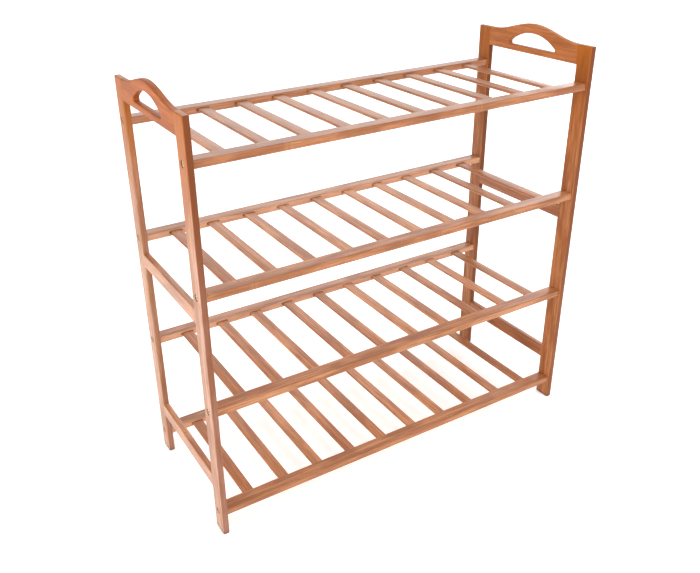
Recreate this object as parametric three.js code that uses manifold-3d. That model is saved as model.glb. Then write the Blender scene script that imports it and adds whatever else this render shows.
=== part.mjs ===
// Four-tier slatted shoe rack in carbonised bamboo.
//
// Frame of reference: millimetres, +X to the right along the width, +Y towards the rear,
// +Z up. The origin is at the middle of the footprint, on the floor.
//
// Two side frames (two posts, an arched handle board and two stretchers each, joined with
// stub tenons) are held apart by eight rails, one in front and one behind on each tier.
// Every rail is bolted through the posts from outside. Ten loose-fitting slats per tier sit
// in slots in the inner faces of the rails.

import * as THREE from 'three';
import { mergeVertices } from 'three/addons/utils/BufferGeometryUtils.js';
import Module from 'manifold-3d';

// ---------------------------------------------------------------- driving dimensions

const WIDTH = 670;               // X, over the outer faces of the side frames
const DEPTH = 255;               // Y, over the posts
const HEIGHT = 660;              // Z, floor to the crest of the handle boards

const TIER_COUNT = 4;
const TIER_CLEAR = 170;          // free height between one tier and the next
const LOWEST_TIER_TOP = 44;      // top of the lowest rails above the floor

const BOARD_T = 10;              // thickness of posts, handle boards and stretchers (X)
const POST_DEPTH = 28;           // width of a post along Y
const EDGE_R = 2;                // rounding of every long edge of a side frame
const FOOT_R = 2.5;              // corner radius at the bottom of a post

const ARCH_RISE = 17;            // crest of the handle board above the post tops
const ARCH_HALF_WIDTH = 95;      // the arch runs out just short of the posts
const HANDLE_BOTTOM = 612;       // lower edge of the handle board
const GRIP_BOTTOM = 622;         // flat lower edge of the hand hole
const GRIP_HEIGHT = 23;
const GRIP_HALF_WIDTH = 52;
const GRIP_END_H = 5;            // upright ends of the hand hole, below its arc
const GRIP_CORNER_R = 2;

const STRETCHER_H = 23;
const STRETCHER_TOPS = { lower: 99, upper: 378 };

const TENON_T = 5;               // stub tenons of the side frames
const TENON_LENGTH = 12;
const STRETCHER_TENON_H = 16;
const HANDLE_TENON_H = 20;
const FIT_GAP = 0.3;             // clearance round a tenon and round a slat in its slot

const RAIL_H = 11;
const RAIL_DEPTH = 22;           // width of a rail along Y
const RAIL_SETBACK = 3;          // rail face behind the post's outer edge
const RAIL_R = 1.8;

const SLATS_PER_TIER = 10;
const SLAT_PITCH = 62;
const SLAT_W = 18;
const SLAT_T = 4;
const SLAT_DROP = 3;             // slat top below the rail top
const SLAT_CHAMFER = 1;
const SLAT_SEAT = 9.6;           // length of a slat end inside its slot
const SLOT_DEPTH = 10;
const SLOT_CORNER_R = 2.2;       // slots have nearly round ends, left by the router bit
const SLOT_SIDE_GAP = 1.5;       // slots are routed longer than the slats are wide

const BOLT_HEAD_BORE = 10;       // counterbore for the bolt head, from the outer face
const BOLT_HEAD_DEPTH = 4;
const BOLT_CLEARANCE = 5.5;      // through hole in the post
const BOLT_PILOT = 5;            // hole in the end of the rail
const BOLT_PILOT_DEPTH = 34;

const OVERRUN = 1;               // how far a cutter passes the surface that it opens

// Values that follow from the driving dimensions.
const POST_TOP = HEIGHT - ARCH_RISE;
const TIER_PITCH = TIER_CLEAR + RAIL_H;
const HALF_DEPTH = DEPTH / 2;
const HALF_OPENING = HALF_DEPTH - POST_DEPTH;      // from the middle to a post, along Y
const RAIL_LENGTH = WIDTH - 2 * BOARD_T;
const RAIL_Y = HALF_DEPTH - RAIL_SETBACK - RAIL_DEPTH / 2;
const RAIL_INNER_Y = RAIL_Y - RAIL_DEPTH / 2;
const SLAT_LENGTH = 2 * (RAIL_INNER_Y + SLAT_SEAT);

const tierTop = (tier) => LOWEST_TIER_TOP + tier * TIER_PITCH;
const railCentreZ = (tier) => tierTop(tier) - RAIL_H / 2;
const SLAT_Z = (RAIL_H - SLAT_T) / 2 - SLAT_DROP;  // slat middle above the rail middle

// Segment counts of the round stretches.
const ARCH_STEPS = 20;
const GRIP_STEPS = 16;
const CORNER_STEPS = 3;
const EDGE_STEPS = 2;
const BORE_STEPS = 16;
const PILOT_STEPS = 10;
const SLOT_STEPS = 2;

// ---------------------------------------------------------------- finish

const FINISH = {
  post: { color: 0xb96f3d, roughness: 0.38 },
  handle: { color: 0xc0763f, roughness: 0.36 },
  stretcher: { color: 0xba7442, roughness: 0.38 },
  rail: { color: 0xb06a3c, roughness: 0.36 },
  slat: { color: 0xb67a54, roughness: 0.4 },
};

const materialFor = (kind) => new THREE.MeshStandardMaterial({ ...FINISH[kind], metalness: 0 });

// ---------------------------------------------------------------- solids

const wasm = await Module();
wasm.setup();

function solidOf(geometry) {
  const bare = geometry.index ? geometry.clone() : geometry;
  bare.deleteAttribute('normal');
  bare.deleteAttribute('uv');
  const merged = mergeVertices(bare, 1e-4);
  return new wasm.Manifold(new wasm.Mesh({
    numProp: 3,
    vertProperties: new Float32Array(merged.attributes.position.array),
    triVerts: new Uint32Array(merged.index.array),
  }));
}

function geometryOf(solid) {
  const mesh = solid.getMesh();
  const geometry = new THREE.BufferGeometry();
  geometry.setAttribute('position', new THREE.BufferAttribute(mesh.vertProperties, 3));
  geometry.setIndex(new THREE.BufferAttribute(mesh.triVerts, 1));
  geometry.computeVertexNormals();
  return geometry;
}

/** The same geometry turned half round about Z. */
const halfTurn = (geometry) => geometry.clone().scale(-1, -1, 1);

function boxSolid(low, high) {
  const size = high.map((value, axis) => value - low[axis]);
  const centre = high.map((value, axis) => (value + low[axis]) / 2);
  return solidOf(new THREE.BoxGeometry(...size).translate(...centre));
}

/** A cylinder along X between two X values. */
function boreAlongX(diameter, x0, x1, y, z, steps = BORE_STEPS) {
  const bore = new THREE.CylinderGeometry(diameter / 2, diameter / 2, x1 - x0, steps);
  return solidOf(bore.rotateZ(Math.PI / 2).translate((x0 + x1) / 2, y, z));
}

/** Turns a drawing of (y, z), extruded towards +x, into the rack's frame. */
const YZ_TO_FRAME = new THREE.Matrix4().makeBasis(
  new THREE.Vector3(0, 1, 0),
  new THREE.Vector3(0, 0, 1),
  new THREE.Vector3(1, 0, 0),
);

// ---------------------------------------------------------------- side frames

/** Outline of a whole side frame in (y, z): posts, feet, lower stretcher and arched top. */
function sideFrameOutline() {
  const outline = new THREE.Shape();
  const underside = STRETCHER_TOPS.lower - STRETCHER_H;
  outline.moveTo(-HALF_DEPTH + FOOT_R, 0);
  outline.lineTo(-HALF_OPENING - FOOT_R, 0);
  outline.absarc(-HALF_OPENING - FOOT_R, FOOT_R, FOOT_R, -Math.PI / 2, 0, false);
  outline.lineTo(-HALF_OPENING, underside);
  outline.lineTo(HALF_OPENING, underside);
  outline.lineTo(HALF_OPENING, FOOT_R);
  outline.absarc(HALF_OPENING + FOOT_R, FOOT_R, FOOT_R, Math.PI, 1.5 * Math.PI, false);
  outline.lineTo(HALF_DEPTH - FOOT_R, 0);
  outline.absarc(HALF_DEPTH - FOOT_R, FOOT_R, FOOT_R, -Math.PI / 2, 0, false);
  outline.lineTo(HALF_DEPTH, POST_TOP);
  for (let step = 0; step <= ARCH_STEPS; step += 1) {
    const angle = Math.PI * (2 * step / ARCH_STEPS - 1);
    const y = -ARCH_HALF_WIDTH * angle / Math.PI;
    outline.lineTo(y, POST_TOP + ARCH_RISE * (1 + Math.cos(angle)) / 2);
  }
  outline.lineTo(-HALF_DEPTH, POST_TOP);
  outline.lineTo(-HALF_DEPTH, FOOT_R);
  outline.absarc(-HALF_DEPTH + FOOT_R, FOOT_R, FOOT_R, Math.PI, 1.5 * Math.PI, false);
  return outline;
}

/** A rectangular window between the posts. */
function windowBetween(bottom, top) {
  const path = new THREE.Path();
  path.moveTo(-HALF_OPENING, bottom);
  path.lineTo(-HALF_OPENING, top);
  path.lineTo(HALF_OPENING, top);
  path.lineTo(HALF_OPENING, bottom);
  path.closePath();
  return path;
}

/** The hand hole: a flat edge, short upright ends and a circular arc over them. */
function gripHole() {
  const path = new THREE.Path();
  const r = GRIP_CORNER_R;
  const rise = GRIP_HEIGHT - GRIP_END_H;
  const radius = (GRIP_HALF_WIDTH ** 2 + rise ** 2) / (2 * rise);
  const centreZ = GRIP_BOTTOM + GRIP_HEIGHT - radius;
  const halfAngle = Math.asin(GRIP_HALF_WIDTH / radius);
  path.moveTo(GRIP_HALF_WIDTH - r, GRIP_BOTTOM);
  path.lineTo(-GRIP_HALF_WIDTH + r, GRIP_BOTTOM);
  path.absarc(-GRIP_HALF_WIDTH + r, GRIP_BOTTOM + r, r, 1.5 * Math.PI, Math.PI, true);
  for (let step = 0; step <= GRIP_STEPS; step += 1) {
    const angle = halfAngle * (2 * step / GRIP_STEPS - 1);
    path.lineTo(radius * Math.sin(angle), centreZ + radius * Math.cos(angle));
  }
  path.absarc(GRIP_HALF_WIDTH - r, GRIP_BOTTOM + r, r, 0, -Math.PI / 2, true);
  return path;
}

/** A left side frame in one solid, edges rounded all round, before it is parted at its joints. */
function wholeSideFrame() {
  const outline = sideFrameOutline();
  const { lower, upper } = STRETCHER_TOPS;
  outline.holes.push(windowBetween(lower, upper - STRETCHER_H));
  outline.holes.push(windowBetween(upper, HANDLE_BOTTOM));
  outline.holes.push(gripHole());
  const geometry = new THREE.ExtrudeGeometry(outline, {
    depth: BOARD_T - 2 * EDGE_R,
    curveSegments: CORNER_STEPS,
    bevelEnabled: true,
    bevelThickness: EDGE_R,
    bevelSize: EDGE_R,
    bevelOffset: -EDGE_R,
    bevelSegments: EDGE_STEPS,
  });
  geometry.applyMatrix4(YZ_TO_FRAME);
  geometry.translate(-WIDTH / 2 + EDGE_R, 0, 0);
  return solidOf(geometry);
}

/** A stub tenon, or with a gap the mortise for it, running from a shoulder towards a post. */
function tenon(side, centreZ, height, gap) {
  const shoulder = side * (HALF_OPENING - OVERRUN);
  const tip = side * (HALF_OPENING + TENON_LENGTH + gap);
  const x = -WIDTH / 2 + BOARD_T / 2;
  const halfT = TENON_T / 2 + gap;
  const halfH = height / 2 + gap;
  return boxSolid(
    [x - halfT, Math.min(shoulder, tip), centreZ - halfH],
    [x + halfT, Math.max(shoulder, tip), centreZ + halfH],
  );
}

/** Height and middle of each tenon of a side frame, by the piece that carries it. */
const TENONS = {
  handle: { z: (HANDLE_BOTTOM + POST_TOP) / 2, height: HANDLE_TENON_H },
  upper: { z: STRETCHER_TOPS.upper - STRETCHER_H / 2, height: STRETCHER_TENON_H },
  lower: { z: STRETCHER_TOPS.lower - STRETCHER_H / 2, height: STRETCHER_TENON_H },
};

/** One post with its mortises, counterbores and bolt holes. */
function makePost(frame, side) {
  const x0 = -WIDTH / 2 - OVERRUN;
  const x1 = -WIDTH / 2 + BOARD_T + OVERRUN;
  const ys = [side * HALF_OPENING, side * (HALF_DEPTH + OVERRUN)].sort((a, b) => a - b);
  let post = frame.intersect(boxSolid([x0, ys[0], -OVERRUN], [x1, ys[1], HEIGHT]));
  for (const { z, height } of Object.values(TENONS)) {
    post = post.subtract(tenon(side, z, height, FIT_GAP));
  }
  for (let tier = 0; tier < TIER_COUNT; tier += 1) {
    const z = railCentreZ(tier);
    const headSeat = -WIDTH / 2 + BOLT_HEAD_DEPTH;
    post = post.subtract(boreAlongX(BOLT_HEAD_BORE, x0, headSeat, side * RAIL_Y, z));
    post = post.subtract(boreAlongX(BOLT_CLEARANCE, x0, x1, side * RAIL_Y, z));
  }
  return geometryOf(post);
}

/** A cross piece of a side frame, cut out of it between the posts, with its two tenons. */
function makeCrossPiece(frame, bottom, top, { z, height }) {
  const x0 = -WIDTH / 2 - OVERRUN;
  const x1 = -WIDTH / 2 + BOARD_T + OVERRUN;
  let piece = frame.intersect(boxSolid(
    [x0, -HALF_OPENING, bottom - OVERRUN],
    [x1, HALF_OPENING, top + OVERRUN],
  ));
  for (const side of [-1, 1]) {
    piece = piece.add(tenon(side, z, height, 0));
  }
  return geometryOf(piece);
}

function namedMesh(name, geometry, kind) {
  const mesh = new THREE.Mesh(geometry, materialFor(kind));
  mesh.name = name;
  return mesh;
}

/** Both side frames; each piece of the right one is its left fellow turned half round. */
function makeSideFrames() {
  const frame = wholeSideFrame();
  const group = new THREE.Group();
  for (const [side, leftName, rightName] of [[-1, 'front', 'rear'], [1, 'rear', 'front']]) {
    const post = makePost(frame, side);
    group.add(namedMesh(`post_left_${leftName}`, post, 'post'));
    group.add(namedMesh(`post_right_${rightName}`, halfTurn(post), 'post'));
  }
  const board = makeCrossPiece(frame, HANDLE_BOTTOM, HEIGHT, TENONS.handle);
  group.add(namedMesh('handle_board_left', board, 'handle'));
  group.add(namedMesh('handle_board_right', halfTurn(board), 'handle'));
  for (const [level, top] of Object.entries(STRETCHER_TOPS)) {
    const bar = makeCrossPiece(frame, top - STRETCHER_H, top, TENONS[level]);
    group.add(namedMesh(`stretcher_left_${level}`, bar, 'stretcher'));
    group.add(namedMesh(`stretcher_right_${level}`, halfTurn(bar), 'stretcher'));
  }
  return group;
}

// ---------------------------------------------------------------- tiers

const slatX = (index) => (index - (SLATS_PER_TIER - 1) / 2) * SLAT_PITCH;

function roundedRectangle(width, height, radius) {
  const shape = new THREE.Shape();
  const w = width / 2 - radius;
  const h = height / 2 - radius;
  shape.absarc(w, h, radius, 0, Math.PI / 2, false);
  shape.absarc(-w, h, radius, Math.PI / 2, Math.PI, false);
  shape.absarc(-w, -h, radius, Math.PI, 1.5 * Math.PI, false);
  shape.absarc(w, -h, radius, 1.5 * Math.PI, 2 * Math.PI, false);
  return shape;
}

/** A rear rail centred on its own axis: slots on its front side, a bolt hole in each end. */
function makeRail() {
  const section = roundedRectangle(RAIL_DEPTH, RAIL_H, RAIL_R);
  const bar = new THREE.ExtrudeGeometry(section, {
    depth: RAIL_LENGTH,
    curveSegments: EDGE_STEPS,
    bevelEnabled: false,
  });
  bar.applyMatrix4(YZ_TO_FRAME);
  bar.translate(-RAIL_LENGTH / 2, 0, 0);
  let rail = solidOf(bar);

  const slotHeight = SLAT_T + 2 * FIT_GAP;
  const slotSection = roundedRectangle(SLAT_W + 2 * SLOT_SIDE_GAP, slotHeight, SLOT_CORNER_R);
  for (let index = 0; index < SLATS_PER_TIER; index += 1) {
    const slot = new THREE.ExtrudeGeometry(slotSection, {
      depth: SLOT_DEPTH + OVERRUN,
      curveSegments: SLOT_STEPS,
      bevelEnabled: false,
    });
    slot.rotateX(Math.PI / 2);
    slot.translate(slatX(index), -RAIL_DEPTH / 2 + SLOT_DEPTH, SLAT_Z);
    rail = rail.subtract(solidOf(slot));
  }
  for (const end of [-1, 1]) {
    const xs = [end * (RAIL_LENGTH / 2 - BOLT_PILOT_DEPTH), end * (RAIL_LENGTH / 2 + OVERRUN)];
    xs.sort((a, b) => a - b);
    rail = rail.subtract(boreAlongX(BOLT_PILOT, xs[0], xs[1], 0, 0, PILOT_STEPS));
  }
  return geometryOf(rail);
}

/** A slat centred on its own axis: a flat strip with eased long edges, running front to rear. */
function makeSlat() {
  const w = SLAT_W / 2;
  const t = SLAT_T / 2;
  const c = SLAT_CHAMFER;
  const section = new THREE.Shape([
    [w - c, -t], [w, -t + c], [w, t - c], [w - c, t],
    [-w + c, t], [-w, t - c], [-w, -t + c], [-w + c, -t],
  ].map(([x, z]) => new THREE.Vector2(x, z)));
  const strip = new THREE.ExtrudeGeometry(section, { depth: SLAT_LENGTH, bevelEnabled: false });
  strip.rotateX(Math.PI / 2);
  strip.translate(0, SLAT_LENGTH / 2, 0);
  return strip;
}

/** Front and rear rail and ten slats of one tier. */
function makeTier(tier, railGeometry, slatGeometry) {
  const group = new THREE.Group();
  const rear = namedMesh(`tier${tier + 1}_rail_rear`, railGeometry, 'rail');
  rear.position.y = RAIL_Y;
  const front = namedMesh(`tier${tier + 1}_rail_front`, halfTurn(railGeometry), 'rail');
  front.position.y = -RAIL_Y;
  group.add(rear, front);
  for (let index = 0; index < SLATS_PER_TIER; index += 1) {
    const number = String(index + 1).padStart(2, '0');
    const slat = namedMesh(`tier${tier + 1}_slat_${number}`, slatGeometry, 'slat');
    slat.position.set(slatX(index), 0, SLAT_Z);
    group.add(slat);
  }
  group.position.z = railCentreZ(tier);
  return group;
}

// ---------------------------------------------------------------- the rack

const rack = new THREE.Group();
rack.add(makeSideFrames());

const railGeometry = makeRail();
const slatGeometry = makeSlat();
for (let tier = 0; tier < TIER_COUNT; tier += 1) {
  rack.add(makeTier(tier, railGeometry, slatGeometry));
}

export default rack;
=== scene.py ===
"""Looks of the four-tier bamboo shoe rack: lacquered carbonised bamboo, recessed bolts, studio."""

import math
from itertools import product

import bmesh
import bpy
from mathutils import Matrix, Vector


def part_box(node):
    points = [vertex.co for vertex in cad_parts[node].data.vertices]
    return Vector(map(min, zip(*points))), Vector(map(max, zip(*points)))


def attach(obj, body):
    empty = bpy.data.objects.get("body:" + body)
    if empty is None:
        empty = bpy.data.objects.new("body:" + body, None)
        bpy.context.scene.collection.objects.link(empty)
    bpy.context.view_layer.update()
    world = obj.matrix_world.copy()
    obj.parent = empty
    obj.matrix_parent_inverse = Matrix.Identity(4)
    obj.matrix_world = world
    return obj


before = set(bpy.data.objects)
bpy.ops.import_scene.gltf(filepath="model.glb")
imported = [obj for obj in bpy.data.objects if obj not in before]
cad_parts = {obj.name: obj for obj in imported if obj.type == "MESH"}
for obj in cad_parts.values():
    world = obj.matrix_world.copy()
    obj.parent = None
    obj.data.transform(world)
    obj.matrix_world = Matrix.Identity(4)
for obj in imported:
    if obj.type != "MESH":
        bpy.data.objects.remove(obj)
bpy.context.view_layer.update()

MM = 0.001

# ---------------------------------------------------------------- shader graphs


class Graph:
    """A material and a small helper that adds and links its shader nodes."""

    def __init__(self, name):
        self.material = bpy.data.materials.new(name)
        self.material.use_nodes = True
        self.tree = self.material.node_tree
        self.tree.nodes.clear()

    def node(self, kind, **values):
        made = self.tree.nodes.new(kind)
        for key, value in values.items():
            setattr(made, key, value)
        return made

    def link(self, source, target):
        self.tree.links.new(source, target)

    def feed(self, target, value):
        """Links a socket to the target, or sets a plain value on it."""
        if isinstance(value, bpy.types.NodeSocket):
            self.link(value, target)
        else:
            target.default_value = value

    def math(self, operation, a, b=0.0):
        made = self.node("ShaderNodeMath", operation=operation)
        self.feed(made.inputs[0], a)
        self.feed(made.inputs[1], b)
        return made.outputs[0]

    def add(self, a, b):
        return self.math("ADD", a, b)

    def times(self, a, b):
        return self.math("MULTIPLY", a, b)

    def minus(self, a, b):
        return self.math("SUBTRACT", a, b)

    def coordinates(self, kind="Object"):
        return self.node("ShaderNodeTexCoord").outputs[kind]

    def vector(self, x, y, z):
        made = self.node("ShaderNodeCombineXYZ")
        for socket, value in zip(made.inputs, (x, y, z)):
            self.feed(socket, value)
        return made.outputs[0]

    def split(self, vector):
        made = self.node("ShaderNodeSeparateXYZ")
        self.link(vector, made.inputs[0])
        return made.outputs[:]

    def smooth(self, value, low, high, to_low=0.0, to_high=1.0):
        """Turns low..high of a value into to_low..to_high, eased at both ends."""
        made = self.node("ShaderNodeMapRange", interpolation_type="SMOOTHSTEP")
        for socket, number in zip(made.inputs, (value, low, high, to_low, to_high)):
            self.feed(socket, number)
        return made.outputs[0]

    def noise(self, vector, scale, detail=2.0, roughness=0.5):
        made = self.node("ShaderNodeTexNoise", noise_dimensions="3D")
        self.link(vector, made.inputs["Vector"])
        made.inputs["Scale"].default_value = scale
        made.inputs["Detail"].default_value = detail
        made.inputs["Roughness"].default_value = roughness
        return made.outputs["Fac"]

    def random(self, vector):
        made = self.node("ShaderNodeTexWhiteNoise", noise_dimensions="3D")
        self.link(vector, made.inputs["Vector"])
        return made.outputs["Value"]

    def dots(self, vector, scale):
        """Distance from the nearest of many scattered points."""
        made = self.node("ShaderNodeTexVoronoi", feature="F1")
        self.link(vector, made.inputs["Vector"])
        made.inputs["Scale"].default_value = scale
        return made.outputs["Distance"]

    def mix(self, factor, a, b):
        made = self.node("ShaderNodeMix", data_type="RGBA", clamp_factor=True)
        for socket, value in ((made.inputs[0], factor), (made.inputs[6], a), (made.inputs[7], b)):
            self.feed(socket, value)
        return made.outputs[2]

    def bump(self, relief, strength, distance):
        made = self.node("ShaderNodeBump")
        made.inputs["Strength"].default_value = strength
        made.inputs["Distance"].default_value = distance
        self.link(relief, made.inputs["Height"])
        return made.outputs[0]

    def surface(self, values):
        """Ends the graph in one shader with these values and gives back the material."""
        shader = self.node("ShaderNodeBsdfPrincipled")
        for socket, value in values.items():
            self.feed(shader.inputs[socket], value)
        self.link(shader.outputs[0], self.node("ShaderNodeOutputMaterial").inputs["Surface"])
        return self.material


# ---------------------------------------------------------------- bamboo

X, Y, Z = 0, 1, 2
PAINTED_TOP_SHADE_TONE = (0.41, 0.110, 0.003, 1.0)   # painted shade: a deeper orange near the rack's top, standing in for the weaker sheen and light up there
PAINTED_TOP_TIER_SHADE_TONE = (0.34, 0.115, 0.038, 1.0)  # painted shade: a duller brown on the top tier's rails and slats, against the light from above
DARK_FOOT_TONE = (0.09, 0.055, 0.038, 1.0)   # grey-brown that darkens the posts' lowest edges
GOLDEN_SHIFT = (1.02, 1.15, 0.9, 1.0)   # golden patches: the middle tone times this

# heights in metres over which the looks change
TOP_ZONE = (0.42, 0.64)          # from the lower tiers to the top: where the painted shade comes in and the painted light on the strips' sides goes
SIDE_ZONE = (0.1, 0.6)           # from the painted shade on the strips' sides at the foot to that at the top
FOOT_ZONE = (0.003, 0.010)       # from the darkened lowest edge to plain bamboo

# noise: scale per metre, detail and, where it isn't the usual one, roughness
FIBRES = (1500.0, 3.0, 0.62)
STREAKS = (380.0, 2.0, 0.6)
CLOUDS = (62.0, 2.0)
DRIFT = (8.0, 2.0)
WAVER = (160.0, 1.0)
FIBRE_STRETCH = 0.035            # width over length of the fibres and streaks
CLOUD_STRETCH = 0.22             # the same of the clouds
WAVER_REACH = 0.0035             # metres by which a knuckle or the darkened lowest edge strays

# parts of the noise that are turned into 0..1
GRAIN_RANGE = (0.34, 0.66)       # of the streaks and clouds
DRIFT_RANGE = (0.45, 0.68)
FIBRE_RANGE = (0.42, 0.72)
CLOUD_SHADOW = (0.0, 0.7)        # part of the clouds' 0..1 that darkens, most at its low end
STREAK_SHADOW = (0.0, 0.6)       # the same of the streaks

# what a strip's tone is made of, and the part of that sum that goes from middle to light
STRIP_SHARE, STREAK_SHARE, CLOUD_SHARE = 0.45, 0.3, 0.25
TONE_RANGE = (0.12, 0.95)

# strength of each mark
GOLDEN_PATCHES = 0.8
CLOUD_DARKENING = 0.34
STREAK_DARKENING = 0.3
FIBRE_DARKENING = 0.45
GLUE_DARKENING = 0.45
KNUCKLE_DARKENING = 0.4
HALO_LIGHTENING = 0.2
PORE_DARKENING = 0.8
END_GRAIN = 0.75

STRIP_SHIFT = 0.003              # metres by which a piece's strips are moved at most
SEED_SPREAD = 91.7               # parts the random values of neighbouring pieces' strips
GRAIN_SPREAD = 7.3               # parts the noise of neighbouring strips
GLUE_EDGE = (0.45, 0.5)          # where the glue line begins and ends, in strip widths
KNUCKLE_PITCH = 0.31             # metres from one knuckle of the cane to the next
KNUCKLE_LINE = (0.0012, 0.005)   # half widths of the line's core and of its edge, in pitches
KNUCKLE_HALO = (0.004, 0.03)     # the same of the paler halo round it
KNUCKLE_CHANCE = (0.35, 0.8)     # random values that give a strip none, and a full one
KNUCKLE_SPREAD = 37.0            # makes that random value out of the strip's own
PORE_SCALE = 900.0               # vascular bundles per metre
PORE_SIZE = (0.18, 0.4)          # radii of a bundle's core and of its edge, in their spacing
FACING_END = (0.7, 0.95)         # how squarely a face looks along the fibres
FACING_SIDE = (0.6, 0.9)         # how squarely it shows the strips' sides

ROUGHNESS_OFFSET = -0.05         # makes up for about half of what the grain adds
STREAK_ROUGHNESS = 0.12
FIBRE_ROUGHNESS = 0.08
FIBRE_RELIEF, KNUCKLE_RELIEF, GLUE_RELIEF = 0.5, 0.5, -0.7
RELIEF_STRENGTH, RELIEF_DEPTH = 0.35, 0.2 * MM
COAT_ROUGHNESS = 0.14


class Bamboo(Graph):
    """Laminated bamboo whose fibres run along one axis: its pieces, strips, grain and knuckles.

    along, across: axis numbers of the fibres and of the glued strips' stacking.
    strip: strip width in metres. cell: size of the cells that hold one piece each, by axis,
    or None where the pieces aren't parted along that axis.
    """

    def __init__(self, name, along, across, strip, cell):
        super().__init__(name)
        self.place = self.coordinates()
        self.axes = self.split(self.place)
        self.height = self.axes[Z]
        self.length = self.axes[along]
        self.width = self.axes[across]
        self.depth = self.axes[3 - along - across]
        facing = self.split(self.coordinates("Normal"))
        self.end_face = self.smooth(self.math("ABSOLUTE", facing[along]), *FACING_END)
        self.strip_side = self.smooth(self.math("ABSOLUTE", facing[across]), *FACING_SIDE)
        self.waver = self.times(self.noise(self.place, *WAVER), WAVER_REACH)
        self.part_pieces(cell)
        self.part_strips(strip)
        self.draw_grain()
        self.draw_knuckles()

    def part_pieces(self, cell):
        """Gives each piece its own seed, so that no two pieces match."""
        self.seeds = [self.math("FLOOR", self.math("DIVIDE", axis, size)) if size else 0.0
                      for axis, size in zip(self.axes, cell)]
        self.piece_random = self.random(self.vector(*self.seeds))

    def part_strips(self, strip):
        """Gives each strip its own random value, and finds the glue lines between strips."""
        shifted = self.add(self.width, self.times(self.piece_random, STRIP_SHIFT))
        strip_place = self.math("DIVIDE", shifted, strip)
        number = self.math("FLOOR", strip_place)
        piece_seed = self.times(self.piece_random, SEED_SPREAD)
        self.strip_random = self.random(self.vector(number, piece_seed, self.seeds[Z]))
        off_middle = self.minus(self.math("FRACT", strip_place), 0.5)
        self.glue = self.smooth(self.math("ABSOLUTE", off_middle), *GLUE_EDGE)

    def draw_grain(self):
        """Fibres, streaks, clouds and a slow drift: noise drawn out along the length."""
        offset = self.times(self.strip_random, GRAIN_SPREAD)
        fine = self.add(self.times(self.length, FIBRE_STRETCH), offset)
        coarse = self.times(self.length, CLOUD_STRETCH)
        drawn_out = self.vector(fine, self.width, self.depth)
        self.fibres = self.noise(drawn_out, *FIBRES)
        self.streaks = self.noise(drawn_out, *STREAKS)
        clouds = self.noise(self.vector(coarse, self.width, self.depth), *CLOUDS)
        self.streak = self.smooth(self.streaks, *GRAIN_RANGE)
        self.cloud = self.smooth(clouds, *GRAIN_RANGE)
        slow = self.vector(self.add(self.length, offset), self.width, self.depth)
        self.drift = self.noise(slow, *DRIFT)

    def draw_knuckles(self):
        """A thin dark line in a paler halo across most strips, each at its own place."""
        moved = self.add(self.add(self.length, self.waver),
                         self.times(self.strip_random, KNUCKLE_PITCH))
        turn = self.math("FRACT", self.math("DIVIDE", moved, KNUCKLE_PITCH))
        gap = self.math("ABSOLUTE", self.minus(turn, 0.5))
        chance = self.math("FRACT", self.times(self.strip_random, KNUCKLE_SPREAD))
        shown = self.smooth(chance, *KNUCKLE_CHANCE)
        self.knuckle = self.times(shown, self.smooth(gap, *KNUCKLE_LINE, 1.0, 0.0))
        self.halo = self.times(shown, self.smooth(gap, *KNUCKLE_HALO, 1.0, 0.0))

    def plain_tone(self, middle, light, variety):
        """The bamboo's tone before any mark, from the middle one to the light one."""
        golden = tuple(value * shift for value, shift in zip(middle, GOLDEN_SHIFT))
        grain = self.add(self.times(self.streak, STREAK_SHARE),
                         self.times(self.cloud, CLOUD_SHARE))
        tone = self.add(self.times(self.strip_random, STRIP_SHARE), grain)
        tone = self.add(tone, self.times(self.minus(self.piece_random, 0.5), variety))
        patches = self.smooth(self.drift, *DRIFT_RANGE, 0.0, GOLDEN_PATCHES)
        colour = self.mix(patches, middle, golden)
        return self.mix(self.smooth(tone, *TONE_RANGE), colour, light)

    def marked(self, colour, dark, light, figure):
        """The colour with clouds, streaks, fibres, glue lines and knuckles in it."""
        cloudy = self.smooth(self.cloud, *CLOUD_SHADOW, CLOUD_DARKENING * figure, 0.0)
        streaky = self.smooth(self.streak, *STREAK_SHADOW, STREAK_DARKENING * figure, 0.0)
        fibrous = self.smooth(self.fibres, *FIBRE_RANGE, 0.0, FIBRE_DARKENING)
        colour = self.mix(cloudy, colour, dark)
        colour = self.mix(streaky, colour, dark)
        colour = self.mix(fibrous, colour, dark)
        colour = self.mix(self.times(self.glue, GLUE_DARKENING), colour, dark)
        colour = self.mix(self.times(self.halo, HALO_LIGHTENING), colour, light)
        return self.mix(self.times(self.knuckle, KNUCKLE_DARKENING), colour, dark)

    def painted_sides_and_foot(self, colour, dark, light, painted_side_shade, painted_side_light, foot_darkening):
        """The colour with painted shade or painted light on the strips' sides, and a darker lowest
        edge.
        """
        # painted shade: the faces that show the strips' sides drawn darker, by an amount that changes
        # with height
        shade = self.smooth(self.height, *SIDE_ZONE, *painted_side_shade)
        colour = self.mix(self.times(self.strip_side, shade), colour, dark)
        # painted light: the same faces drawn paler on the lower tiers
        paler = self.smooth(self.height, *TOP_ZONE, painted_side_light, 0.0)
        colour = self.mix(self.times(self.strip_side, paler), colour, light)
        # the posts' lowest edge drawn darker
        lowest_edge_darkening = self.smooth(self.add(self.height, self.waver), *FOOT_ZONE, foot_darkening, 0.0)
        return self.mix(lowest_edge_darkening, colour, DARK_FOOT_TONE)

    def with_ends(self, colour, dark, middle):
        """The colour with cut vascular bundles on the faces that look along the fibres."""
        pores = self.smooth(self.dots(self.place, PORE_SCALE), *PORE_SIZE, 1.0, 0.0)
        end_tone = self.mix(self.times(pores, PORE_DARKENING), middle, dark)
        return self.mix(self.times(self.end_face, END_GRAIN), colour, end_tone)

    def uneven(self, roughness):
        """The roughness, a little higher in streaks and fibres."""
        value = self.add(roughness + ROUGHNESS_OFFSET,
                         self.times(self.streaks, STREAK_ROUGHNESS))
        return self.add(value, self.times(self.fibres, FIBRE_ROUGHNESS))

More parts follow.
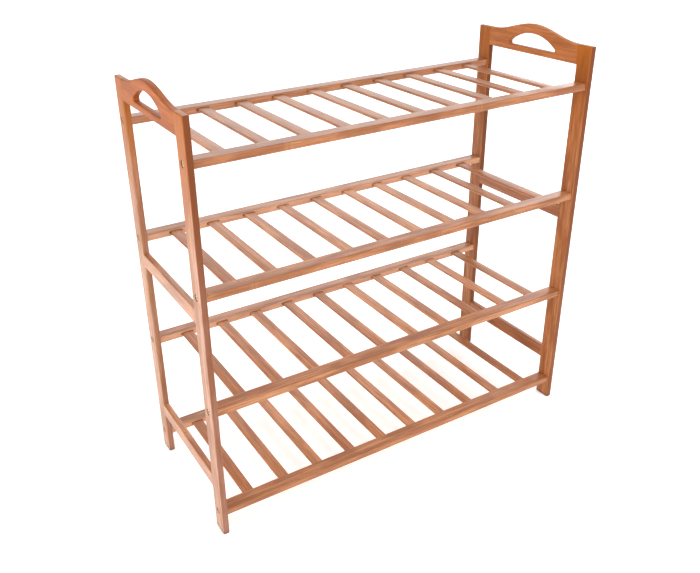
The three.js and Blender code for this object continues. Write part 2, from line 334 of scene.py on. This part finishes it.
    def relief(self):
        """Raised fibres and knuckles, and sunk glue lines."""
        height = self.add(self.times(self.fibres, FIBRE_RELIEF),
                          self.times(self.knuckle, KNUCKLE_RELIEF))
        height = self.add(height, self.times(self.glue, GLUE_RELIEF))
        return self.bump(height, RELIEF_STRENGTH, RELIEF_DEPTH)


def bamboo(name, along, across, strip, cell, tones, roughness, coat=0.0, specular=0.5,
           figure=1.0, variety=0.35, painted_side_shade=(0.0, 0.0), painted_side_light=0.0,
           painted_top_tone=PAINTED_TOP_SHADE_TONE, painted_top_shade=0.0, foot_darkening=0.0):
    """A bamboo material; the first five arguments are Bamboo's own.

    tones: dark, middle and light colours. figure: strength of the streaks and clouds.
    variety: how much one piece's tone differs from another's. painted_side_shade: painted shade
    on the faces that show the strips' sides, at the rack's foot and at its top.
    painted_side_light: painted light that makes these faces paler on the lower tiers.
    painted_top_tone, painted_top_shade: the painted shade near the rack's top and how strong it
    is. foot_darkening: how much darker the lowest edge is.
    """
    g = Bamboo(name, along, across, strip, cell)
    dark, middle, light = [(*tone, 1.0) for tone in tones]
    colour = g.plain_tone(middle, light, variety)
    # painted shade: the colour drawn darker towards the rack's top
    colour = g.mix(g.smooth(g.height, *TOP_ZONE, 0.0, painted_top_shade), colour, painted_top_tone)
    colour = g.marked(colour, dark, light, figure)
    colour = g.painted_sides_and_foot(colour, dark, light, painted_side_shade, painted_side_light, foot_darkening)
    colour = g.with_ends(colour, dark, middle)
    return g.surface({
        "Base Color": colour,
        "Roughness": g.uneven(roughness),
        "Normal": g.relief(),
        "Specular IOR Level": specular,
        "Coat Weight": coat,
        "Coat Roughness": COAT_ROUGHNESS,
    })


# dark, middle and light tones. Painted light and shade: the left posts and stretchers are paler than
# the right ones, the right rear post darker still and the left handle board darker than the right
# one, for the light each gets
PALE_POST_TONES = ((0.18, 0.046, 0.010), (0.445, 0.215, 0.132), (0.62, 0.375, 0.285))
WARM_POST_TONES = ((0.18, 0.046, 0.010), (0.405, 0.136, 0.041), (0.545, 0.238, 0.102))
DEEP_POST_TONES = ((0.15, 0.038, 0.008), (0.35, 0.118, 0.037), (0.50, 0.220, 0.100))
LEFT_HANDLE_TONES = ((0.17, 0.034, 0.006), (0.36, 0.090, 0.016), (0.46, 0.140, 0.030))
RIGHT_HANDLE_TONES = ((0.19, 0.043, 0.009), (0.41, 0.120, 0.030), (0.53, 0.190, 0.058))
LEFT_STRETCHER_TONES = ((0.20, 0.052, 0.013), (0.455, 0.168, 0.062), (0.60, 0.265, 0.122))
RIGHT_STRETCHER_TONES = ((0.17, 0.042, 0.008), (0.30, 0.083, 0.017), (0.43, 0.146, 0.043))
FRONT_RAIL_TONES = ((0.20, 0.056, 0.015), (0.40, 0.150, 0.057), (0.59, 0.265, 0.122))
REAR_RAIL_TONES = ((0.21, 0.060, 0.018), (0.42, 0.168, 0.074), (0.62, 0.320, 0.185))
SLAT_TONES = ((0.19, 0.051, 0.014), (0.435, 0.155, 0.054), (0.66, 0.295, 0.130))

# cell sizes in metres
HALVES = 0.5                     # part left from right, or front from rear
LEVELS = 0.2                     # part the lower stretchers from the upper
TIERS = 0.181                    # part one tier from the next
SLATS = 0.062                    # part one slat from the next


def post_bamboo(place, tones, painted_side_shade, figure=1.0):
    return bamboo(f"bamboo_post_{place}", Z, Y, strip=0.0094, cell=(HALVES, HALVES, None),
                  tones=tones, roughness=0.36, specular=0.2, figure=figure,
                  painted_side_shade=painted_side_shade, painted_top_shade=0.95, foot_darkening=0.8)


def handle_bamboo(side, tones):
    return bamboo(f"bamboo_handle_{side}", Y, Z, strip=0.0082, cell=(HALVES, None, None),
                  tones=tones, roughness=0.42, specular=0.22, figure=0.5)


def stretcher_bamboo(side, tones):
    return bamboo(f"bamboo_stretcher_{side}", Y, Z, strip=0.0076, cell=(HALVES, None, LEVELS),
                  tones=tones, roughness=0.27, coat=0.2, specular=0.4)


def rail_bamboo(place, tones, painted_side_light=0.0):
    return bamboo(f"bamboo_rail_{place}", X, Y, strip=0.0056, cell=(None, HALVES, TIERS),
                  tones=tones, roughness=0.28, coat=0.1, specular=0.3, painted_side_light=painted_side_light,
                  painted_top_tone=PAINTED_TOP_TIER_SHADE_TONE, painted_top_shade=0.5)


def slat_bamboo():
    return bamboo("bamboo_slat", Y, X, strip=0.0064, cell=(SLATS, None, TIERS),
                  tones=SLAT_TONES, roughness=0.3, coat=0.1, specular=0.3, figure=0.6,
                  variety=0.55, painted_top_tone=PAINTED_TOP_TIER_SHADE_TONE, painted_top_shade=0.5)


# one material per post, handle board and stretcher side: copies painted paler or darker for the light
# each gets; the posts' strip sides carry painted shade and the rear rails' inner faces painted light
BAMBOO = {
    "post_left_front": post_bamboo("left_front", PALE_POST_TONES, painted_side_shade=(0.55, 1.0), figure=0.5),
    "post_left_rear": post_bamboo("left_rear", PALE_POST_TONES, painted_side_shade=(0.45, 0.2), figure=0.5),
    "post_right_front": post_bamboo("right_front", WARM_POST_TONES, painted_side_shade=(0.8, 1.0)),
    "post_right_rear": post_bamboo("right_rear", DEEP_POST_TONES, painted_side_shade=(0.8, 1.0)),
    "handle_board_left": handle_bamboo("left", LEFT_HANDLE_TONES),
    "handle_board_right": handle_bamboo("right", RIGHT_HANDLE_TONES),
    "stretcher_left": stretcher_bamboo("left", LEFT_STRETCHER_TONES),
    "stretcher_right": stretcher_bamboo("right", RIGHT_STRETCHER_TONES),
    "rail_front": rail_bamboo("front", FRONT_RAIL_TONES),
    "rail_rear": rail_bamboo("rear", REAR_RAIL_TONES, painted_side_light=0.4),
    "slat": slat_bamboo(),
}


def material_of(node):
    """The bamboo whose key is part of the node's name."""
    return next(material for key, material in BAMBOO.items() if key in node)


# ---------------------------------------------------------------- shading of the CAD pieces

SHARP_EDGE = 50                  # degrees; flatter edges are shaded smooth
WELD_REACH = 0.01 * MM
FACE_WEIGHT = 100                # large faces count the most in the rounded edges' shading


def smooth_by_angle():
    """A node group that shades faces smooth and keeps the sharp edges between them."""
    group = bpy.data.node_groups.new("smooth_by_angle", "GeometryNodeTree")
    group.interface.new_socket("Geometry", in_out="INPUT", socket_type="NodeSocketGeometry")
    group.interface.new_socket("Geometry", in_out="OUTPUT", socket_type="NodeSocketGeometry")
    start = group.nodes.new("NodeGroupInput")
    end = group.nodes.new("NodeGroupOutput")
    angle = group.nodes.new("GeometryNodeInputMeshEdgeAngle")
    flatter = group.nodes.new("FunctionNodeCompare")
    flatter.data_type = "FLOAT"
    flatter.operation = "LESS_THAN"
    flatter.inputs[1].default_value = math.radians(SHARP_EDGE)
    edges = group.nodes.new("GeometryNodeSetShadeSmooth")
    edges.domain = "EDGE"
    faces = group.nodes.new("GeometryNodeSetShadeSmooth")
    faces.domain = "FACE"
    group.links.new(angle.outputs[0], flatter.inputs[0])
    group.links.new(start.outputs[0], edges.inputs["Geometry"])
    group.links.new(flatter.outputs[0], edges.inputs["Shade Smooth"])
    group.links.new(edges.outputs[0], faces.inputs["Geometry"])
    group.links.new(faces.outputs[0], end.inputs[0])
    return group


SMOOTH = smooth_by_angle()


def smooth_out(piece):
    smooth = piece.modifiers.new("smooth", "NODES")
    smooth.node_group = SMOOTH


def dress(piece):
    """Gives a CAD piece its bamboo and soft shading over its rounded edges."""
    piece.data.materials.clear()
    piece.data.materials.append(material_of(piece.name))
    weld = piece.modifiers.new("weld", "WELD")
    weld.merge_threshold = WELD_REACH
    smooth_out(piece)
    weighted = piece.modifiers.new("weighted", "WEIGHTED_NORMAL")
    weighted.keep_sharp = True
    weighted.weight = FACE_WEIGHT


for cad_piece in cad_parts.values():
    dress(cad_piece)

# ---------------------------------------------------------------- bolts

ROUND_STEPS = 36
HEAD_RADIUS = 4.65 * MM
HEAD_HEIGHT = 3.3 * MM
HEAD_RIM = 1.0 * MM              # height of the head's upright rim, below its dome
HEAD_SEAT = 4.0 * MM             # depth of the counterbore below the post's outer face
DOME_STEPS = 6
SOCKET_SIDES = 6
SOCKET_RADIUS = 2.3 * MM         # to the corners
SOCKET_DEPTH = 2.2 * MM
SOCKET_BEVEL_DEPTH = 0.15 * MM
SOCKET_BEVEL_WIDTH = 0.25 * MM
SHANK_RADIUS = 2.3 * MM
SHANK_LENGTH = 36.0 * MM
SHANK_BEVEL = 0.8 * MM

ZINC_TONE = (0.86, 0.74, 0.52, 1.0)
DULL_ZINC_TONE = (0.62, 0.50, 0.33, 1.0)
ZINC_MARKS = (2600.0, 3.0, 0.6)  # noise of the turning marks: scale, detail, roughness
ZINC_STAINS = (420.0, 2.0)       # noise of the duller patches
STAIN_RANGE = (0.4, 0.75)
ZINC_ROUGHNESS = (0.26, 0.2)     # the least, and what the marks add to it


def bolt_steel():
    """Yellow zinc-plated steel with fine turning marks and a few duller patches."""
    g = Graph("bolt_steel")
    place = g.coordinates()
    marks = g.noise(place, *ZINC_MARKS)
    stains = g.smooth(g.noise(place, *ZINC_STAINS), *STAIN_RANGE)
    smoothest, added = ZINC_ROUGHNESS
    return g.surface({
        "Base Color": g.mix(stains, ZINC_TONE, DULL_ZINC_TONE),
        "Roughness": g.add(smoothest, g.times(marks, added)),
        "Normal": g.bump(marks, strength=0.3, distance=0.05 * MM),
        "Metallic": 1.0,
    })


def ring(mesh, radius, x, corners=None):
    """A loop of points round the X axis; with corners, they lie on a regular polygon."""
    points = []
    for step in range(ROUND_STEPS):
        angle = 2 * math.pi * step / ROUND_STEPS
        reach = radius
        if corners:
            sector = 2 * math.pi / corners
            reach = radius * math.cos(sector / 2) / math.cos(angle % sector - sector / 2)
        points.append(mesh.verts.new((x, reach * math.cos(angle), reach * math.sin(angle))))
    return points


def bridge(mesh, first, second):
    """Faces between two loops of points."""
    count = len(first)
    for i in range(count):
        j = (i + 1) % count
        mesh.faces.new((first[i], first[j], second[j], second[i]))


def dome_rings(mesh, inner_radius):
    """The rings of the head's dome, from the socket's bevel out to the upright rim."""
    rings = []
    for step in range(DOME_STEPS + 1):
        angle = math.pi / 2 * step / DOME_STEPS
        radius = inner_radius + (HEAD_RADIUS - inner_radius) * math.sin(angle)
        rise = (HEAD_HEIGHT - HEAD_RIM) * math.cos(angle)
        rings.append(ring(mesh, radius, -HEAD_RIM - rise))
    return rings


def bolt_mesh():
    """A button-head screw with its head towards -X and the seat of its head at x = 0."""
    mesh = bmesh.new()
    top = -HEAD_HEIGHT
    loops = [
        ring(mesh, SOCKET_RADIUS, top + SOCKET_DEPTH, SOCKET_SIDES),
        ring(mesh, SOCKET_RADIUS, top + SOCKET_BEVEL_DEPTH, SOCKET_SIDES),
        *dome_rings(mesh, SOCKET_RADIUS + SOCKET_BEVEL_WIDTH),
        ring(mesh, HEAD_RADIUS, 0),
        ring(mesh, SHANK_RADIUS, 0),
        ring(mesh, SHANK_RADIUS, SHANK_LENGTH - SHANK_BEVEL),
        ring(mesh, SHANK_RADIUS - SHANK_BEVEL, SHANK_LENGTH),
    ]
    mesh.faces.new(loops[0])
    for first, second in zip(loops, loops[1:]):
        bridge(mesh, first, second)
    mesh.faces.new(loops[-1])
    bmesh.ops.recalc_face_normals(mesh, faces=mesh.faces)
    data = bpy.data.meshes.new("bolt")
    mesh.to_mesh(data)
    mesh.free()
    data.materials.append(bolt_steel())
    return data


def add_bolt(data, tier, place, side):
    """A bolt in the counterbore of the post that holds this end of the rail."""
    low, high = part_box(f"tier{tier}_rail_{place}")
    y, z = (low.y + high.y) / 2, (low.z + high.z) / 2
    post_low, post_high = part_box(f"post_{side}_{place}")
    if side == "left":
        seat, angle = post_low.x + HEAD_SEAT, 0
    else:
        seat, angle = post_high.x - HEAD_SEAT, math.pi
    bolt = bpy.data.objects.new(f"bolt_tier{tier}_{place}_{side}", data)
    bpy.context.scene.collection.objects.link(bolt)
    bolt.matrix_world = Matrix.Translation((seat, y, z)) @ Matrix.Rotation(angle, 4, "Z")
    smooth_out(bolt)
    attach(bolt, "root")


BOLT = bolt_mesh()
for tier, place, side in product((1, 2, 3, 4), ("front", "rear"), ("left", "right")):
    add_bolt(BOLT, tier, place, side)

# ---------------------------------------------------------------- studio

FLOOR_SIZE = 40                  # metres
FLOOR_TONES = (0.93, 0.93, 0.93, 1.0), (0.95, 0.95, 0.95, 1.0)
FLOOR_PATCHES = (3.0, 2.0)       # noise between the two tones: scale, detail
GLOW_TONE = (0.96, 0.99, 1.0, 1.0)
FLOOR_GLOW = (0.44, 0.66)        # the light it gives off, under the rack and far from it
GLOW_REACH = (1.5, 5.0)          # metres from the rack over which this light rises

RACK_MIDDLE = (0, 0, 0.3)
WHITE = (1.0, 1.0, 1.0)
# name: place, aim, diameter, power in watts, colour
LIGHTS = {
    "key": ((-2.5, -0.3, 1.0), RACK_MIDDLE, 1.6, 38.0, (1.0, 0.98, 0.95)),
    "top": ((0.2, -1.9, 4.9), RACK_MIDDLE, 3.2, 80.0, WHITE),
    "back": ((1.6, 3.0, 1.25), RACK_MIDDLE, 2.6, 14.0, (0.95, 0.98, 1.0)),
    "front": ((1.3, -4.1, 2.7), RACK_MIDDLE, 3.2, 86.0, (1.0, 0.98, 0.96)),
    "right": ((2.6, 1.2, 1.1), RACK_MIDDLE, 1.8, 20.0, WHITE),
    "far_floor": ((2.2, 3.9, 3.2), (2.2, 3.9, 0.0), 5.0, 75.0, WHITE),
}
WORLD_LEVELS = (1.0, 0.30)       # brightness of the room at the horizon and overhead
WORLD_HEIGHTS = (0.2, 0.5)       # sines of the elevations between which it changes


def add_floor():
    """A plain pale floor that gives off a little light of its own."""
    g = Graph("floor")
    place = g.coordinates()
    distance = g.node("ShaderNodeVectorMath", operation="LENGTH")
    g.link(place, distance.inputs[0])
    material = g.surface({
        "Base Color": g.mix(g.noise(place, *FLOOR_PATCHES), *FLOOR_TONES),
        "Roughness": 0.9,
        "Emission Color": GLOW_TONE,
        "Emission Strength": g.smooth(distance.outputs["Value"], *GLOW_REACH, *FLOOR_GLOW),
    })
    bpy.ops.mesh.primitive_plane_add(size=FLOOR_SIZE)
    floor = bpy.context.object
    floor.name = "floor"
    floor.data.materials.append(material)


def add_light(name, place, aim, size, power, colour):
    """A soft round light."""
    data = bpy.data.lights.new(name, "AREA")
    data.shape = "DISK"
    data.size = size
    data.energy = power
    data.color = colour
    light = bpy.data.objects.new(name, data)
    light.location = place
    light.rotation_euler = (Vector(aim) - Vector(place)).to_track_quat("-Z", "Y").to_euler()
    bpy.context.scene.collection.objects.link(light)


def add_room():
    """A pale room, brightest at the horizon, so that the floor runs into it unseen."""
    world = bpy.data.worlds.new("room")
    world.use_nodes = True
    tree = world.node_tree
    direction = tree.nodes.new("ShaderNodeTexCoord")
    height = tree.nodes.new("ShaderNodeSeparateXYZ")
    level = tree.nodes.new("ShaderNodeMapRange")
    level.interpolation_type = "SMOOTHSTEP"
    for socket, value in zip(level.inputs[1:5], (*WORLD_HEIGHTS, *WORLD_LEVELS)):
        socket.default_value = value
    background = tree.nodes["Background"]
    background.inputs["Color"].default_value = (*WHITE, 1.0)
    tree.links.new(direction.outputs["Generated"], height.inputs[0])
    tree.links.new(height.outputs["Z"], level.inputs["Value"])
    tree.links.new(level.outputs["Result"], background.inputs["Strength"])
    bpy.context.scene.world = world


def add_studio():
    add_floor()
    for name, settings in LIGHTS.items():
        add_light(name, *settings)
    add_room()
    bpy.context.scene.view_settings.view_transform = "Standard"


# ---------------------------------------------------------------- camera

AZIMUTH = 29.549                 # degrees, from the front towards the left
ELEVATION = 26.536
ROLL = -1.5
DISTANCE = 1.30232               # metres from the target
TARGET = (-0.064625, 0.047745, 0.302439)
SENSOR_WIDTH = 36.0              # millimetres, as the focal length
FOCAL_LENGTH = 40.411
SHIFT = (0.04842, -0.02614)      # in sensor widths


def add_camera():
    a, e = math.radians(AZIMUTH), math.radians(ELEVATION)
    outward = Vector((-math.sin(a) * math.cos(e), -math.cos(a) * math.cos(e), math.sin(e)))
    right = (-outward).cross(Vector((0, 0, 1))).normalized()
    up = right.cross(-outward)
    roll = math.radians(ROLL)
    rolled_right = right * math.cos(roll) + up * math.sin(roll)
    rolled_up = up * math.cos(roll) - right * math.sin(roll)
    turn = Matrix((rolled_right, rolled_up, outward)).transposed().to_4x4()
    data = bpy.data.cameras.new("camera")
    data.sensor_width = SENSOR_WIDTH
    data.lens = FOCAL_LENGTH
    data.shift_x, data.shift_y = SHIFT
    camera = bpy.data.objects.new("camera", data)
    camera.matrix_world = Matrix.Translation(Vector(TARGET) + outward * DISTANCE) @ turn
    bpy.context.scene.collection.objects.link(camera)
    bpy.context.scene.camera = camera


add_studio()
add_camera()
